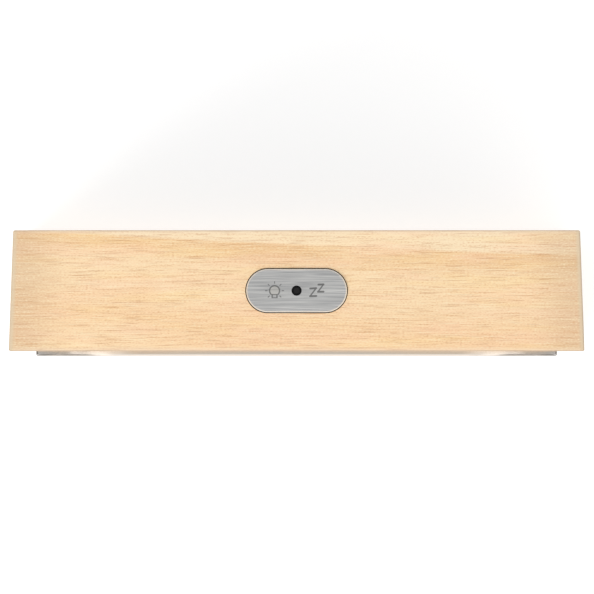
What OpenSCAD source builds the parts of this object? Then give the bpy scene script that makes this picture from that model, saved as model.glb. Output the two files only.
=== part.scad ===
// A square wooden alarm clock: a solid wood block bored out from both sides,
// a round polished bezel pressed into its front, a battery movement with a
// full gear train behind the dial, and a steel snooze and light button in the
// top. X runs to the right, Y to the back and Z up, from the middle of the
// footprint on the table.

/* [Wood block] */
// Width of the block at its front face
body_w = 120; // [114:1:130]
// Height of the block
body_h = 120; // [118:1:124]
// Depth of the block from front to back
body_d = 25.2; // [25.2:0.1:27]
// Draft of the left and right faces, in degrees
side_draft = 2.1; // [0:0.1:3]
// Rounding along every edge of the block
edge_r = 0.4; // [0.3:0.1:1.2]
// Height of the rubber feet
foot_h = 1; // [0.5:0.5:2]

/* [Bezel and glass] */
// Outer diameter of the bezel
bezel_dia = 110.6; // [109:0.1:112]
// How far the bezel stands out of the wood
bezel_out = 1.0; // [0.9:0.05:2]
// Rounding of the bezel's outer edge
bezel_edge_r = 0.35; // [0.2:0.05:0.7]
// Thickness of the glass
glass_t = 1.8; // [1.2:0.1:1.8]

/* [Button] */
// Length of the button's steel cap
button_l = 21; // [18:0.5:22]
// Width of the button's steel cap
button_w = 9; // [8:0.5:9]
// How far the cap stands out of the wood
button_out = 0.8; // [0.6:0.1:1]
// Gap round the cap in its slot
button_gap = 0.2; // [0.15:0.05:0.4]
// Diameter of the dark sensor window in the cap
lens_dia = 2.13; // [1.6:0.01:3]

/* [Hands] */
// Hour shown at rest
rest_hour = 10; // [0:1:11]
// Minute shown at rest
rest_minute = 9; // [0:1:59]
// Second shown at rest
rest_second = 36; // [0:1:59]
// Hour that the alarm is set to
rest_alarm = 7; // [0:0.25:11.75]
// Length of the minute hand
minute_len = 40; // [30:1:40]
// Length of the hour hand
hour_len = 26; // [20:1:30]
// Length of the second hand
second_len = 42; // [30:1:42]
// Length of the alarm hand
alarm_len = 18; // [12:1:22]

/* [Battery] */
// Diameter of the cell
cell_dia = 14.2; // [13.6:0.1:14.2]
// Length of the cell with its button end
cell_len = 50.5; // [49.5:0.1:50.5]

/* [Hidden] */

$fn = 96;
over = 1;

// Places of the block and the dial
front_y = -(body_d + bezel_out) / 2 + bezel_out;
back_y = front_y + body_d;
block_y = (front_y + back_y) / 2;
top_z = foot_h + body_h;
dial_z = foot_h + body_h / 2;

// Openings in the block, as radii and as depths behind its front face
lip_r = 50.4;
lip_d = 3;
bore_r = 52;
cover_face_d = body_d - 0.8;
cover_t = 1.6;
cover_inner_d = cover_face_d - cover_t;
cover_side = body_w - 12.4;
cover_r = 7.8;
cover_gap = 0.2;
cover_edge = 0.4;
screw_xy = cover_side / 2 - 7.3;
slot_low = dial_z + bore_r - 6;

// Screws, as radii of pilot holes, clearance holes and heads
wood_pilot_r = 1.2;
wood_pilot_len = 7;
cover_hole_r = 1.5;
cover_head_r = 2.6;
cover_head_t = 0.8;
head_sunk = 0.1;
pilot_r = 0.8;
clear_r = 1.1;

// Radii of the parts behind the bezel
skirt_in_r = 49.3;
skirt_out_r = 50.3;
skirt_d = 6;
glass_r = 49.1;
glass_front = 0.1;
glass_back_d = glass_t - glass_front;
gasket_in_r = 47.6;
tube_in_r = 47.9;
tube_out_r = 49.2;
tube_front_d = 2.5;
ring_base_r = 44.6;
ring_top_r = 47.2;
dial_r = 47.7;
dial_d = 7.2;
dial_t = 0.5;
plate_d = dial_d + dial_t;
plate_t = 1.2;

// Outer box of the movement: left and right are even, the cell lies below
mov_x = 29;
mov_low = -36;
mov_high = 22;
mov_wall = 1.2;
mov_floor_d = plate_d + mov_wall;
mov_split_d = 17.1;
mov_back_d = mov_split_d + mov_wall;
bay_top = -17.4;
bay_back_d = 22.2;
neck_r = 3.5;
neck_bore_r = 2.4;
neck_end_d = 6.2;
nut_flats = 9;
nut_front_d = neck_end_d + 0.1;

// Wheels of the going train: teeth, and tooth size as pitch diameter per tooth
rotor_n = 8;
fifth_n = 48;
fifth_pin_n = 10;
second_n = 50;
second_pin_n = 8;
third_n = 60;
third_pin_n = 8;
centre_n = 64;
rotor_mod = 0.3;
fifth_mod = 0.34;
second_mod = 0.3;

// Wheels of the motion work and of the alarm
cannon_n = 12;
minute_n = 36;
minute_pin_n = 10;
hour_n = 40;
cannon_mod = 0.44;
alarm_n = 40;
alarm_pin_n = 20;
alarm_mod = 0.45;

// Distances between arbors, and the tooth sizes that follow from them
train_gap = (second_pin_n + third_n) * second_mod / 2;
rotor_gap = (rotor_n + fifth_n) * rotor_mod / 2;
motion_gap = (cannon_n + minute_n) * cannon_mod / 2;
alarm_gap = (alarm_n + alarm_pin_n) * alarm_mod / 2;
centre_mod = 2 * train_gap / (third_pin_n + centre_n);
hour_mod = 2 * motion_gap / (minute_pin_n + hour_n);

// Directions from one arbor to the next, anticlockwise from the right
third_dir = 140;
fifth_dir = 60;
rotor_dir = 20;
minute_dir = -25;
alarm_dir = -160;

function polar(r, a) = [r * cos(a), r * sin(a)];

third_at = polar(train_gap, third_dir);
fifth_at = polar(train_gap, fifth_dir);
rotor_at = fifth_at + polar(rotor_gap, rotor_dir);
minute_at = polar(motion_gap, minute_dir);
alarm_at = polar(alarm_gap, alarm_dir);

// Angle of one tooth of a driven wheel, so that it meshes with its driver
function mesh_phase(dir, n1, p1, n2) = dir + 180 - (180 - (dir - p1) * n1) / n2;

second_phase = 0;
second_pin_phase = 10;
third_phase = mesh_phase(third_dir, second_pin_n, second_pin_phase, third_n);
third_pin_phase = 0;
centre_phase = mesh_phase(third_dir + 180, third_pin_n, third_pin_phase, centre_n);
fifth_pin_phase = mesh_phase(fifth_dir, second_n, second_phase, fifth_pin_n);
fifth_phase = 3;
rotor_phase = mesh_phase(rotor_dir, fifth_n, fifth_phase, rotor_n);
cannon_phase = 0;
minute_phase = mesh_phase(minute_dir, cannon_n, cannon_phase, minute_n);
minute_pin_phase = 6;
hour_phase = mesh_phase(minute_dir + 180, minute_pin_n, minute_pin_phase, hour_n);
alarm_phase = 0;
alarm_pin_phase = mesh_phase(alarm_dir, alarm_n, alarm_phase, alarm_pin_n);

// Tooth forms: root depth, tip height, then half widths at root, pitch and tip.
// Depths are in tooth sizes and widths in halves of the tooth spacing.
wheel_form = [1.3, 0.8, 0.60, 0.40, 0.20];
pinion_form = [1.3, 0.6, 0.50, 0.34, 0.20];

// Layers of the wheels, as front and back depths
alarm_layer = [9.2, 10];
hour_layer = [10.3, 11.1];
cannon_layer = [11.4, 12.6];
centre_layer = [12.9, 13.6];
third_layer = [14, 14.6];
second_layer = [15, 15.6];
fifth_layer = [16, 16.6];

// Radii of the nested arbors and tubes on the clock's centre
arbor_r = 0.5;
pivot_gap = 0.07;
cannon_in_r = 0.6;
cannon_out_r = 1.1;
hour_in_r = 1.2;
hour_out_r = 1.7;
alarm_in_r = 1.8;
alarm_out_r = 2.3;
pivot_front_d = mov_floor_d - 0.8;
pivot_back_d = mov_split_d + 0.7;

// Hands, as front and back depths of hub and blade
second_hub = [2.5, 3.2];
second_cap_d = 2.8;
second_tail = 12;
second_blade = [2.7, 2.9];
minute_hub = [3.45, 4.3];
minute_blade = [3.6, 3.9];
hour_hub = [4.55, 5.2];
hour_blade = [4.7, 5];
alarm_hub = [5.4, 6.05];
alarm_blade = [5.6, 5.8];

// Well, knobs and slider in the rear cover
well_w = 53;
well_low = -14.5;
well_high = 17;
well_wall = 1.2;
well_r = 4;
well_floor_d = 19.9;
knob_r = 6.5;
knob_front_d = 20.3;
knob_shaft_r = 0.8;
slider_x = -12;
slider_y = 13.5;
slider_travel = 4;
slider_stem = [3, 2];
slider_foot = [5, 4];
slider_gap = 0.3;

// Battery door, hinged along its lower edge
door_w = 60.2;
door_low = -36;
door_high = -18.2;
door_t = 1.05;
door_gap = 0.3;
door_frame = [32.5, door_low - 2.5, door_high + 2.1];
cell_way_x = 28;
scoop = [12, 4];
hinge_d = cover_face_d - 0.85;
hinge_y = door_low + 0.85;
hinge_barrel_r = 0.85;
hinge_pin_r = 0.6;
hinge_pin_len = 1.4;
hinge_clear = 1.3;
cell_y = (mov_low + mov_wall + bay_top - mov_wall) / 2;
cell_d = mov_floor_d + 0.05 + cell_dia / 2;
nipple_r = 2.75;
nipple_len = 1;

// Button, board and switches, as heights over the table or offsets from it
button_t = 1;
cap_bevel = 0.25;
carrier_l = button_l - 0.8;
carrier_w = button_w - 0.8;
flange_l = 25;
flange_w = 8.4;
flange_t = 1.2;
flange_z = dial_z + 49;
board_y = 43;
board_t = 1.6;
board_l = 32;
board_front_d = 9.1;
board_back_d = 19.1;
switch_x = 8;
switch_side = 6;
switch_h = 3.6;
plunger_r = 1.7;
plunger_hole_r = 1.85;
lamp_x = 9;
lamp_y = 45.3;
lamp_w = 2.4;
lamp_h = 1.35;
lamp_gap = 0.15;
bracket_screw_xy = [13.5, 38];
bracket_d = plate_d + plate_t + 0.6;
bracket_t = 1.4;

// Parts inside the movement
coil_y = 18;
coil_left = 0;
coil_right = 18;
coil_d = 12.9;
coil_r = 2.4;
stator_layer = [12.4, 13.4];
magnet_r = 2.5;
magnet_layer = [11.6, 15.2];
pcb_layer = [15, 16];
pcb_left = -27.2;
pcb_right = -18.4;
pcb_low = -9;
pcb_high = 16;
boss_r = 2.2;
boss_at = [[25.3, 18], [-15.5, 18.4], [25.3, -14.8], [-18.5, -14.8]];
buzzer_at = [-39, 0];
buzzer_r = 8.5;
buzzer_layer = [17.5, 22.8];

// Turns the dial's own plane to the front of the clock: x right, y up and z
// towards the viewer, from the centre of the dial on the wood's front face
module dialspace() {
    translate([0, front_y, dial_z]) rotate([90, 0, 0]) children();
}

// Extrudes an outline between two depths behind the wood's front face
module slab(d1, d2) {
    translate([0, 0, -d2]) linear_extrude(height = d2 - d1) children();
}

module ring(r_out, r_in, d1, d2) {
    slab(d1, d2) difference() {
        circle(r_out);
        circle(r_in);
    }
}

module rounded_rect(w, h, r) {
    square([w - 2 * r, h], center = true);
    square([w, h - 2 * r], center = true);
    for (sx = [-1, 1], sy = [-1, 1])
        translate([sx * (w / 2 - r), sy * (h / 2 - r)]) circle(r);
}

// Plate with round corners whose rear edge widens by c, or narrows below zero
module edged_plate(w, h, r, d1, d2, c) {
    for (sx = [-1, 1], sy = [-1, 1])
        translate([sx * (w / 2 - r), sy * (h / 2 - r), -d2]) {
            cylinder(r1 = r + c, r2 = r, h = abs(c));
            translate([0, 0, abs(c)]) cylinder(r = r, h = d2 - d1 - abs(c));
        }
    edged_bar(w, h - 2 * r, d1, d2, c);
    rotate([0, 0, 90]) edged_bar(h, w - 2 * r, d1, d2, c);
}

module edged_bar(w, length, d1, d2, c) {
    rotate([90, 0, 0]) linear_extrude(height = length, center = true)
        polygon([
            [w / 2 + c, -d2],
            [w / 2, abs(c) - d2],
            [w / 2, -d1],
            [-w / 2, -d1],
            [-w / 2, abs(c) - d2],
            [-w / 2 - c, -d2]
        ]);
}

module stadium(l, w) {
    square([l - w, w], center = true);
    for (s = [-1, 1])
        translate([s * (l - w) / 2, 0]) circle(w / 2);
}

// Outline between two corners given as left, low, right and high
module span(x1, y1, x2, y2) {
    translate([x1, y1]) square([x2 - x1, y2 - y1]);
}

// Points of one tooth after another round a wheel
function tooth_points(n, mod, form, phase) =
    let (
        r = n * mod / 2,
        radii = [r - form[0] * mod, r, r + form[1] * mod],
        half = [form[2], form[3], form[4]]
    )
    [
        for (i = [0 : n - 1])
            for (k = [0, 1, 2, -3, -2, -1])
                let (
                    j = k < 0 ? -k - 1 : k,
                    side = k < 0 ? 1 : -1
                )
                polar(radii[j], phase + (i + side * half[j] / 2) * 360 / n)
    ];

module gear(n, mod, form, phase) {
    polygon(tooth_points(n, mod, form, phase));
}

// Moulded wheel with a thinned web and round holes between its spokes
module moulded_wheel(n, mod, phase, layer, holes) {
    root_r = n * mod / 2 - wheel_form[0] * mod;
    web = (layer[1] - layer[0]) / 4;
    hub_r = 2.1;
    mid_r = (root_r - 0.8 + hub_r) / 2;
    difference() {
        slab(layer[0], layer[1]) gear(n, mod, wheel_form, phase);
        ring(root_r - 0.8, hub_r, layer[0] - over, layer[0] + web);
        ring(root_r - 0.8, hub_r, layer[1] - web, layer[1] + over);
        for (i = [0 : holes - 1])
            rotate([0, 0, (i + 0.5) * 360 / holes])
                translate([mid_r, 0])
                    slab(layer[0] - over, layer[1] + over) circle(mid_r - hub_r - 0.5);
    }
}

module arbor(r, d1, d2) {
    slab(d1, d2) circle(r);
}

// Corner stock that is taken off an edge, with the block at its lower left
module edge_bar(length) {
    linear_extrude(height = length + 2 * over, center = true)
        difference() {
            translate([-edge_r, -edge_r]) square(edge_r + over);
            translate([-edge_r, -edge_r]) circle(edge_r);
        }
}

back_w = body_w - 2 * body_d * tan(side_draft);

// The outer form of the wood: front wider than the back, all edges eased
module block() {
    mid_z = foot_h + body_h / 2;
    difference() {
        translate([0, 0, foot_h])
            linear_extrude(height = body_h)
                polygon([
                    [-body_w / 2, front_y],
                    [body_w / 2, front_y],
                    [back_w / 2, back_y],
                    [-back_w / 2, back_y]
                ]);
        for (side = [0, 1])
            mirror([side, 0, 0]) {
                translate([back_w / 2, back_y, mid_z]) edge_bar(body_h);
                translate([body_w / 2, front_y, mid_z]) mirror([0, 1, 0]) edge_bar(body_h);
                for (z = [foot_h, top_z])
                    translate([(body_w + back_w) / 4, block_y, z])
                        mirror([0, 0, z == foot_h ? 1 : 0])
                            rotate([0, 0, side_draft])
                                rotate([90, 0, 0]) edge_bar(body_d);
            }
        for (z = [foot_h, top_z], front = [0, 1])
            translate([0, front == 1 ? front_y : back_y, z])
                mirror([0, front, 0])
                    mirror([0, 0, z == foot_h ? 0 : 1])
                        rotate([0, 90, 0]) edge_bar(body_w);
    }
}

module at_cover_screws() {
    for (sx = [-1, 1], sy = [-1, 1])
        translate([sx * screw_xy, sy * screw_xy, 0]) children();
}

module case() {
    color("burlywood") difference() {
        block();
        dialspace() {
            slab(-over, lip_d + over) circle(lip_r);
            slab(lip_d, body_d + over) circle(bore_r);
            slab(cover_inner_d, body_d + over)
                rounded_rect(cover_side + 2 * cover_gap, cover_side + 2 * cover_gap, cover_r + cover_gap);
            at_cover_screws()
                slab(cover_inner_d - wood_pilot_len, cover_inner_d + over) circle(wood_pilot_r);
        }
        translate([0, block_y, slot_low])
            linear_extrude(height = top_z + over - slot_low)
                stadium(button_l + 2 * button_gap, button_w + 2 * button_gap);
    }
}

// Turned ring: flange on the wood, rounded rim, dished face, skirt behind
module bezel() {
    r = bezel_dia / 2;
    color("silver") dialspace() rotate_extrude($fn = 180) difference() {
        polygon([
            [skirt_in_r, -skirt_d],
            [skirt_out_r, -skirt_d],
            [skirt_out_r, 0],
            [r, 0],
            [r, bezel_out],
            [r - 2.2, bezel_out],
            [glass_r - 0.8, glass_front + 0.3],
            [glass_r - 0.8, glass_front],
            [skirt_in_r, glass_front]
        ]);
        translate([r - bezel_edge_r, bezel_out - bezel_edge_r]) difference() {
            square(bezel_edge_r + over);
            circle(bezel_edge_r);
        }
    }
}

module glass() {
    color("lightcyan", 0.3) dialspace()
        slab(-glass_front, glass_back_d) circle(glass_r);
}

module glass_gasket() {
    color("dimgray") dialspace() ring(glass_r, gasket_in_r, glass_back_d, tube_front_d);
}

module at_lamps() {
    for (s = [-1, 1])
        translate([s * lamp_x, lamp_y, 0]) children();
}

module lamp_holes(d1, d2) {
    at_lamps() slab(d1, d2) square([lamp_w + 2 * lamp_gap, lamp_h + 2 * lamp_gap], center = true);
}

// Frosted ring round the dial that spreads the light of the two lamps
module light_ring() {
    color("whitesmoke") dialspace() difference() {
        rotate_extrude()
            polygon([
                [dial_r, -dial_d],
                [ring_base_r, -dial_d],
                [ring_top_r, -tube_front_d - 0.1],
                [dial_r, -tube_front_d - 0.1]
            ]);
        lamp_holes(6.2, dial_d + over);
    }
}

// Moulded frame: outer wall behind the lip, tube that the bezel is pressed
// on, and the seat of the dial with a square opening for the movement
module dial_frame() {
    gap = 0.2;
    rib_half = 0.6;
    color("gainsboro") dialspace() difference() {
        union() {
            ring(bore_r - gap, skirt_out_r + 0.3, lip_d, plate_d);
            ring(tube_out_r, tube_in_r, tube_front_d, plate_d);
            slab(plate_d, plate_d + plate_t) difference() {
                circle(bore_r - gap);
                span(-mov_x - gap, mov_low - gap, mov_x + gap, mov_high + gap);
            }
            for (a = [0 : 45 : 315])
                rotate([0, 0, a + 22.5])
                    slab(skirt_d + 0.3, plate_d)
                        span(tube_out_r - 0.2, -rib_half, skirt_out_r + 0.5, rib_half);
            for (sx = [-1, 1])
                translate([sx * bracket_screw_xy[0], bracket_screw_xy[1], 0])
                    ring(2, pilot_r, plate_d, bracket_d);
        }
        lamp_holes(plate_d - over, plate_d + plate_t + over);
        for (sx = [-1, 1])
            translate([sx * bracket_screw_xy[0], bracket_screw_xy[1], 0])
                slab(plate_d + 0.3, plate_d + plate_t + over) circle(pilot_r);
        slab(plate_d + 0.3, plate_d + plate_t + over)
            span(-flange_l / 2 - 1, flange_z - dial_z - 0.8, flange_l / 2 + 1, bore_r);
    }
}

module dial() {
    color("ivory") dialspace() difference() {
        slab(dial_d, plate_d) circle(dial_r);
        slab(dial_d - over, plate_d + over) circle(neck_r + 0.1);
        lamp_holes(dial_d - over, plate_d + over);
    }
}

// Hexagonal nut with its front corners turned off
module centre_nut() {
    corner_r = nut_flats / 2 / cos(30);
    turned = (corner_r - nut_flats / 2) * tan(30);
    color("goldenrod") dialspace() difference() {
        intersection() {
            slab(nut_front_d, dial_d) circle(corner_r, $fn = 6);
            rotate_extrude()
                polygon([
                    [0, -dial_d],
                    [corner_r + over, -dial_d],
                    [corner_r + over, -nut_front_d - turned - over * tan(30)],
                    [nut_flats / 2, -nut_front_d],
                    [0, -nut_front_d]
                ]);
        }
        slab(0, dial_d + over) circle(neck_r);
    }
}

well_y = (well_low + well_high) / 2;
well_h = well_high - well_low;

// Moulded rear cover with its finger well, door recess and sound holes
module rear_cover() {
    flare = cover_edge + 0.1;
    color("dimgray") dialspace() difference() {
        union() {
            edged_plate(cover_side, cover_side, cover_r, cover_inner_d, cover_face_d, -cover_edge);
            translate([0, well_y, 0]) slab(well_floor_d - well_wall, cover_inner_d)
                rounded_rect(well_w + 2 * well_wall, well_h + 2 * well_wall, well_r + well_wall);
            slab(bay_back_d + 0.1, cover_inner_d)
                span(-door_frame[0], door_frame[1], door_frame[0], door_frame[2]);
            translate(buzzer_at) ring(buzzer_r + 1.2, buzzer_r + 0.1, 18.5, cover_inner_d);
            for (x = [36, 41], s = [0, 1])
                mirror([s, 0, 0]) slab(cover_inner_d - 1.2, cover_inner_d) span(x, -28, x + 1, -13.5);
        }
        translate([0, well_y, 0])
            edged_plate(well_w, well_h, well_r, well_floor_d, cover_face_d + flare - cover_edge, flare);
        for (at = [minute_at, alarm_at])
            translate(at)
                slab(well_floor_d - well_wall - over, well_floor_d + over) circle(knob_shaft_r + 0.3);
        slider_slot(well_floor_d - well_wall - over, well_floor_d + over);
        slab(cover_face_d - door_t - 0.15, cover_face_d + over)
            span(-door_w / 2 - door_gap, door_low, door_w / 2 + door_gap, door_high + door_gap);
        slab(bay_back_d - over, cover_face_d + over)
            span(-door_w / 2 - door_gap, hinge_y - hinge_clear, door_w / 2 + door_gap, hinge_y + 1.2);
        slab(bay_back_d - over, cover_face_d)
            span(-cell_way_x, hinge_y, cell_way_x, door_high - 1.2);
        translate([0, door_high, 0]) slab(cover_face_d - 0.8, cover_face_d + over)
            stadium(scoop[0], scoop[1]);
        for (s = [0, 1])
            mirror([s, 0, 0]) door_hinge(hinge_pin_r + pivot_gap, hinge_pin_len + door_gap + 0.2);
        at_cover_screws() {
            slab(0, cover_face_d + over) circle(cover_hole_r);
            slab(cover_face_d - cover_head_t - head_sunk, cover_face_d + over)
                circle(cover_head_r + 0.3);
        }
        translate(buzzer_at) sound_holes();
    }
}

// Three rings of holes over the sounder
module sound_holes() {
    hole_r = 0.8;
    pitch = 2.9;
    slab(cover_inner_d - over, cover_face_d + over) {
        circle(hole_r, $fn = 24);
        for (row = [1, 2], i = [0 : 6 * row - 1])
            rotate(i * 60 / row) translate([pitch * row, 0]) circle(hole_r, $fn = 24);
    }
}

module slider_slot(d1, d2) {
    x = slider_stem[0] / 2 + slider_gap;
    y = slider_stem[1] / 2 + slider_gap;
    slab(d1, d2) translate([slider_x, slider_y]) span(-x, -y, x + slider_travel, y);
}

// A round pin along the door's hinge line, from the door's right edge outwards
module door_hinge(r, length) {
    translate([door_w / 2 - over, hinge_y, -hinge_d]) rotate([0, 90, 0])
        cylinder(r = r, h = length + over, $fn = 32);
}

module rear_cover_screws() {
    color("silver") dialspace() at_cover_screws() {
        slab(cover_inner_d - wood_pilot_len + 0.5, cover_face_d - cover_head_t - head_sunk)
            circle(wood_pilot_r);
        slab(cover_face_d - cover_head_t - head_sunk, cover_face_d - head_sunk) circle(cover_head_r);
    }
}

// Round feet with an eased lower edge
module rubber_feet() {
    foot_r = 4;
    ease = 0.3;
    color("black") for (sx = [-1, 1], y = [front_y + 6.5, back_y - 6.5])
        translate([sx * (body_w / 2 - 11), y, 0]) rotate_extrude($fn = 48)
            polygon([[0, 0], [foot_r - ease, 0], [foot_r, ease], [foot_r, foot_h], [0, foot_h]]);
}

// Height over the table of a place in the dial's plane
function high(y) = dial_z + y;

module at_button() {
    translate([0, block_y, 0]) children();
}

module switch_board() {
    color("darkgreen") dialspace() slab(board_front_d, board_back_d)
        span(-board_l / 2, board_y, board_l / 2, board_y + board_t);
}

module snooze_switches() {
    color("gray") at_button() for (s = [-1, 1])
        translate([s * switch_x, 0, high(board_y + board_t)]) difference() {
            translate([-switch_side / 2, -switch_side / 2, 0]) cube([switch_side, switch_side, switch_h]);
            translate([0, 0, switch_h - 2.4]) cylinder(r = plunger_hole_r, h = 2.4 + over, $fn = 48);
        }
}

module light_sensor() {
    color("black") at_button()
        translate([-1.6, -1, high(board_y + board_t)]) cube([3.2, 2, 1]);
}

module dial_lamps() {
    color("lemonchiffon") dialspace() at_lamps()
        slab(6.5, board_front_d + 0.3) square([lamp_w, lamp_h], center = true);
}

// Shelf under the board, with two screwed ears and gussets behind the dial
module switch_bracket() {
    shelf_t = 1.6;
    back_d = bracket_d;
    ear_w = 7;
    color("gainsboro") dialspace() difference() {
        union() {
            slab(back_d, board_back_d + 0.6)
                span(-board_l / 2 - 1, board_y - shelf_t, board_l / 2 + 1, board_y);
            slab(board_back_d, board_back_d + 0.6)
                span(-board_l / 2 - 1, board_y - shelf_t, board_l / 2 + 1, board_y + board_t / 2);
            for (sx = [-1, 1]) {
                translate([sx * bracket_screw_xy[0], 0, 0]) slab(back_d, back_d + bracket_t)
                    span(-ear_w / 2, bracket_screw_xy[1] - 3.5, ear_w / 2, board_y - shelf_t);
                translate([sx * (board_l / 2 + 0.5) - 0.5, 0, 0]) rotate([0, 90, 0])
                    linear_extrude(height = 1)
                        polygon([
                            [back_d, board_y - shelf_t - 6],
                            [back_d + bracket_t, board_y - shelf_t - 6],
                            [board_back_d, board_y - shelf_t],
                            [back_d, board_y - shelf_t]
                        ]);
            }
        }
        for (sx = [-1, 1])
            translate([sx * bracket_screw_xy[0], bracket_screw_xy[1], 0])
                slab(back_d - over, back_d + bracket_t + over) circle(clear_r);
        slab(15.4, 18.4) span(-15, board_y - shelf_t - over, -10.5, board_y + over);
    }
}

module bracket_screws() {
    back_d = bracket_d + bracket_t;
    color("silver") dialspace() for (sx = [-1, 1])
        translate([sx * bracket_screw_xy[0], bracket_screw_xy[1], 0]) {
            slab(plate_d + 0.3, back_d) circle(pilot_r, $fn = 24);
            slab(back_d, back_d + 1) circle(1.9, $fn = 32);
        }
}

// Tray of the movement: front wall with the threaded neck, gear chamber,
// deeper battery bay below it, pivots, bosses and board posts
module movement_front() {
    color("lightgray") dialspace() difference() {
        union() {
            slab(plate_d, mov_split_d) difference() {
                span(-mov_x, mov_low, mov_x, mov_high);
                span(-mov_x + mov_wall, bay_top, mov_x - mov_wall, mov_high - mov_wall);
                span(-mov_x + mov_wall, mov_low + mov_wall, mov_x - mov_wall, bay_top - mov_wall);
            }
            slab(mov_split_d, bay_back_d) difference() {
                span(-mov_x, mov_low, mov_x, bay_top);
                span(-mov_x + mov_wall, mov_low + mov_wall, mov_x - mov_wall, bay_top - mov_wall);
            }
            slab(plate_d, mov_floor_d) span(-mov_x, mov_low, mov_x, mov_high);
            slab(neck_end_d, plate_d) circle(neck_r);
            for (at = boss_at)
                translate(at) arbor(boss_r, mov_floor_d, mov_split_d);
            for (y = [pcb_low + 3, pcb_high - 3])
                translate([(pcb_left + pcb_right) / 2, y, 0]) arbor(1, mov_floor_d, pcb_layer[0]);
        }
        slab(neck_end_d - over, mov_floor_d + over) circle(neck_bore_r);
        for (at = [third_at, fifth_at, rotor_at])
            translate(at) pivot_hole(pivot_front_d, mov_floor_d + over);
        for (at = [minute_at, alarm_at])
            translate(at) slab(pivot_front_d, mov_floor_d + over) circle(knob_shaft_r + pivot_gap);
        for (at = boss_at)
            translate(at) slab(mov_split_d - 5, mov_split_d + over) circle(pilot_r, $fn = 24);
        for (x = [-27.6, -24.2])
            slab(pcb_layer[0] - 0.4, mov_split_d)
                span(x, bay_top - mov_wall - over, x + 1.4, bay_top + over);
        for (y = [0.4, 7])
            slab(pcb_layer[0], mov_split_d) span(-mov_x - over, y, -mov_x + mov_wall + over, y + 4);
    }
}

module pivot_hole(d1, d2) {
    slab(d1, d2) circle(arbor_r + pivot_gap, $fn = 32);
}

// Back plate of the gear chamber, with pivots, shaft holes and the slider slot
module movement_back() {
    color("lightgray") dialspace() difference() {
        slab(mov_split_d, mov_back_d) span(-mov_x, bay_top + 0.1, mov_x, mov_high);
        for (at = [[0, 0], third_at, fifth_at, rotor_at])
            translate(at) pivot_hole(mov_split_d - over, pivot_back_d + 0.1);
        for (at = [minute_at, alarm_at])
            translate(at) slab(mov_split_d - over, mov_back_d + over) circle(knob_shaft_r + pivot_gap);
        for (at = boss_at)
            translate(at) slab(mov_split_d - over, mov_back_d + over) circle(clear_r, $fn = 24);
        slider_slot(mov_split_d - over, mov_back_d + over);
    }
}

module movement_screws() {
    color("silver") dialspace() for (at = boss_at)
        translate(at) {
            slab(mov_split_d - 4.5, mov_back_d) circle(pilot_r, $fn = 24);
            slab(mov_back_d, mov_back_d + 0.35) circle(1.8, $fn = 32);
        }
}

module circuit_board() {
    color("seagreen") dialspace() slab(pcb_layer[0], pcb_layer[1])
        span(pcb_left, pcb_low, pcb_right, pcb_high);
}

module control_chip() {
    color("black") dialspace() translate([-23.4, 7, 0])
        slab(pcb_layer[0] - 1, pcb_layer[0]) circle(2.8, $fn = 48);
}

module crystal() {
    color("silver") dialspace() translate([-26, 0.4, -pcb_layer[0] + 0.95]) rotate([0, 90, 0])
        cylinder(r = 0.95, h = 5.6, $fn = 32);
}

coil_len = coil_right - coil_left;

module along_coil(r, x, length) {
    translate([x, coil_y, -coil_d]) rotate([0, 90, 0]) cylinder(r = r, h = length, $fn = 48);
}

module coil_bobbin() {
    flange = 0.8;
    color("saddlebrown") dialspace() difference() {
        union() {
            along_coil(1.7, coil_left, coil_len);
            for (x = [coil_left, coil_right - flange])
                translate([x, coil_y - 2.6, -coil_d - 2.6]) cube([flange, 5.2, 5.2]);
        }
        translate([coil_left - over, coil_y - 1, -stator_layer[1]])
            cube([coil_len + 2 * over, 2, stator_layer[1] - stator_layer[0]]);
    }
}

module coil_winding() {
    flange = 0.8;
    color("chocolate") dialspace() difference() {
        along_coil(coil_r, coil_left + flange, coil_len - 2 * flange);
        along_coil(1.7, coil_left, coil_len);
    }
}

// Soft iron circuit: a core through the coil, two legs and the rotor's eye
module stator() {
    leg = 2.2;
    bar_low = coil_y - 1;
    bar_high = coil_y + 1;
    yoke_low = 10.6;
    yoke_high = 15;
    color("lightslategray") dialspace() slab(stator_layer[0], stator_layer[1]) difference() {
        union() {
            span(coil_left - leg, bar_low, coil_right + leg, bar_high);
            span(coil_left - leg, yoke_high - leg, coil_right + leg, yoke_high);
            span(rotor_at[0] - 4.4, yoke_low, rotor_at[0] + 4.4, yoke_high);
            for (x = [coil_left - leg, coil_right + 0.1])
                span(x, yoke_high - leg, x + leg - 0.1, bar_high);
            translate(rotor_at) circle(4.4);
        }
        translate(rotor_at) circle(magnet_r + 0.4);
        span(coil_left, yoke_high, coil_right, bar_low);
    }
}

// Cell with rolled shoulders and a button at its right end
module battery() {
    r = cell_dia / 2;
    can = cell_len - nipple_len;
    roll = 0.5;
    color("firebrick") dialspace() translate([-cell_len / 2, cell_y, -cell_d]) rotate([0, 90, 0])
        rotate_extrude($fn = 64)
            polygon([
                [0, 0],
                [r - roll, 0],
                [r, roll],
                [r, can - roll],
                [r - roll, can],
                [nipple_r, can],
                [nipple_r, cell_len],
                [0, cell_len]
            ]);
}

strip_t = 0.3;
strip_y = bay_top - mov_wall - strip_t;

// Strip that runs along the bay's upper wall and turns up to the board
module contact_tail(x1, x2, wire_x) {
    slab(9.3, 10.9) span(min(x1, x2), strip_y, max(x1, x2), strip_y + strip_t);
    slab(9.3, pcb_layer[0]) span(wire_x, strip_y, wire_x + 1, strip_y + strip_t);
    slab(pcb_layer[0] - strip_t, pcb_layer[0]) span(wire_x, strip_y, wire_x + 1, pcb_low + 1.2);
}

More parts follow.
